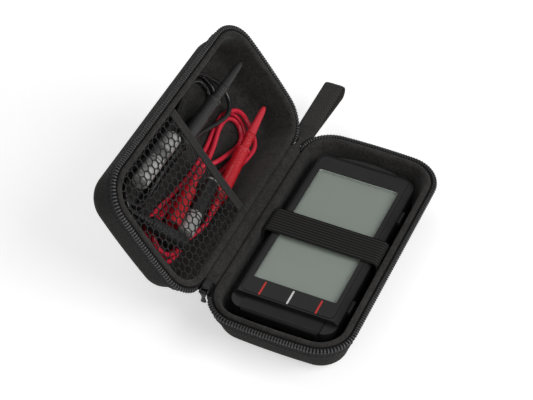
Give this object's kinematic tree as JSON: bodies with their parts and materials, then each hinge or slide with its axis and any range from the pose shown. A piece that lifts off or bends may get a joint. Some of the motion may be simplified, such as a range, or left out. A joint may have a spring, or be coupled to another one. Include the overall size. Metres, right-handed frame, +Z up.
{
  "type": "pocket multimeter kit",
  "caption": "Slim digital multimeter strapped in a zipped clamshell case, with test leads and spare cells behind a net in the hinged lid.",
  "frame": {"origin": "centre of the base's flat bottom, on the floor", "axes": "+X across the case away from the hinge, +Y along the hinge to the wrist strap, +Z up"},
  "size_m": [0.1636, 0.2199, 0.1062],
  "materials": {
    "case_fabric": "matte",
    "zip_tape": "matte",
    "zip_teeth": "satin",
    "zip_metal": "satin",
    "elastic": "matte",
    "webbing": "matte",
    "net": "matte",
    "meter_casing": "satin",
    "window": "gloss",
    "lcd": "satin",
    "connector_rubber": "matte",
    "board": "satin",
    "resin": "gloss",
    "contact_metal": "satin",
    "fuse_glass": "gloss",
    "screw_steel": "satin",
    "tip_steel": "polished",
    "red_plastic": "gloss",
    "red_silicone": "satin",
    "black_plastic": "gloss",
    "black_silicone": "satin",
    "cell_metal": "satin"
  },
  "bodies": {
    "base": {"base_shell": "case_fabric", "base_zip_tape": "zip_tape", "base_zip_coil": "zip_teeth", "base_spine": "case_fabric", "zip_slider": "zip_metal", "meter_strap": "elastic", "wrist_strap": "webbing", "front_cover": "meter_casing", "rear_cover": "meter_casing", "screen_window": "window", "lcd_panel": "lcd", "lcd_connector_strips": "connector_rubber", "circuit_board": "board", "main_chip": "resin", "jack_block": "meter_casing", "input_jacks": "contact_metal", "fuse": "fuse_glass", "fuse_clips": "contact_metal", "buzzer": "resin", "tact_switches": "resin", "battery_contacts": "contact_metal", "battery_door": "meter_casing", "battery_door_screw": "screw_steel", "case_screws": "screw_steel"},
    "lid": {"lid_shell": "case_fabric", "lid_zip_tape": "zip_tape", "lid_zip_coil": "zip_teeth", "lid_spine": "case_fabric", "net_pocket": "net", "net_binding": "webbing", "spare_cell_1": "cell_metal", "spare_cell_2": "cell_metal", "red_probe_body": "red_plastic", "red_probe_tip": "tip_steel", "red_probe_boot": "red_silicone", "red_lead_cord": "red_silicone", "red_plug_body": "red_plastic", "red_plug_pin": "tip_steel", "red_plug_boot": "red_silicone", "black_probe_body": "black_plastic", "black_probe_tip": "tip_steel", "black_probe_boot": "black_silicone", "black_lead_cord": "black_silicone", "black_plug_body": "black_plastic", "black_plug_pin": "tip_steel", "black_plug_boot": "black_silicone"},
    "pull_tab": {"zip_pull": "zip_metal"},
    "function_key": {"function_button": "meter_casing"},
    "hold_key": {"hold_button": "meter_casing"},
    "red_cap": {"red_probe_cap": "red_silicone"},
    "black_cap": {"black_probe_cap": "black_silicone"}
  },
  "joints": [
    {"name": "lid_hinge", "type": "hinge", "parent": "base", "child": "lid", "pos_m": [-0.047, 0, 0.03], "axis": [0, 1, 0], "range_deg": [-55, 125]},
    {"name": "pull_swing", "type": "hinge", "parent": "base", "child": "pull_tab", "pos_m": [-0.047, -0.0721, 0.03], "axis": [-1, 0, 0], "range_deg": [-5, 110]},
    {"name": "function_press", "type": "slide", "parent": "base", "child": "function_key", "axis": [-1, 0, 0], "range_m": [0, 0.0008], "stiffness_N_per_m": 1500, "springref_m": -0.0003},
    {"name": "hold_press", "type": "slide", "parent": "base", "child": "hold_key", "axis": [-1, 0, 0], "range_m": [0, 0.0008], "stiffness_N_per_m": 1500, "springref_m": -0.0003},
    {"name": "red_cap_pull", "type": "slide", "parent": "lid", "child": "red_cap", "axis": [-0.0342, 0.9817, 0.1873], "range_m": [0, 0.006]},
    {"name": "black_cap_pull", "type": "slide", "parent": "lid", "child": "black_cap", "axis": [0.0601, 0.9923, 0.1085], "range_m": [0, 0.0045]}
  ]
}
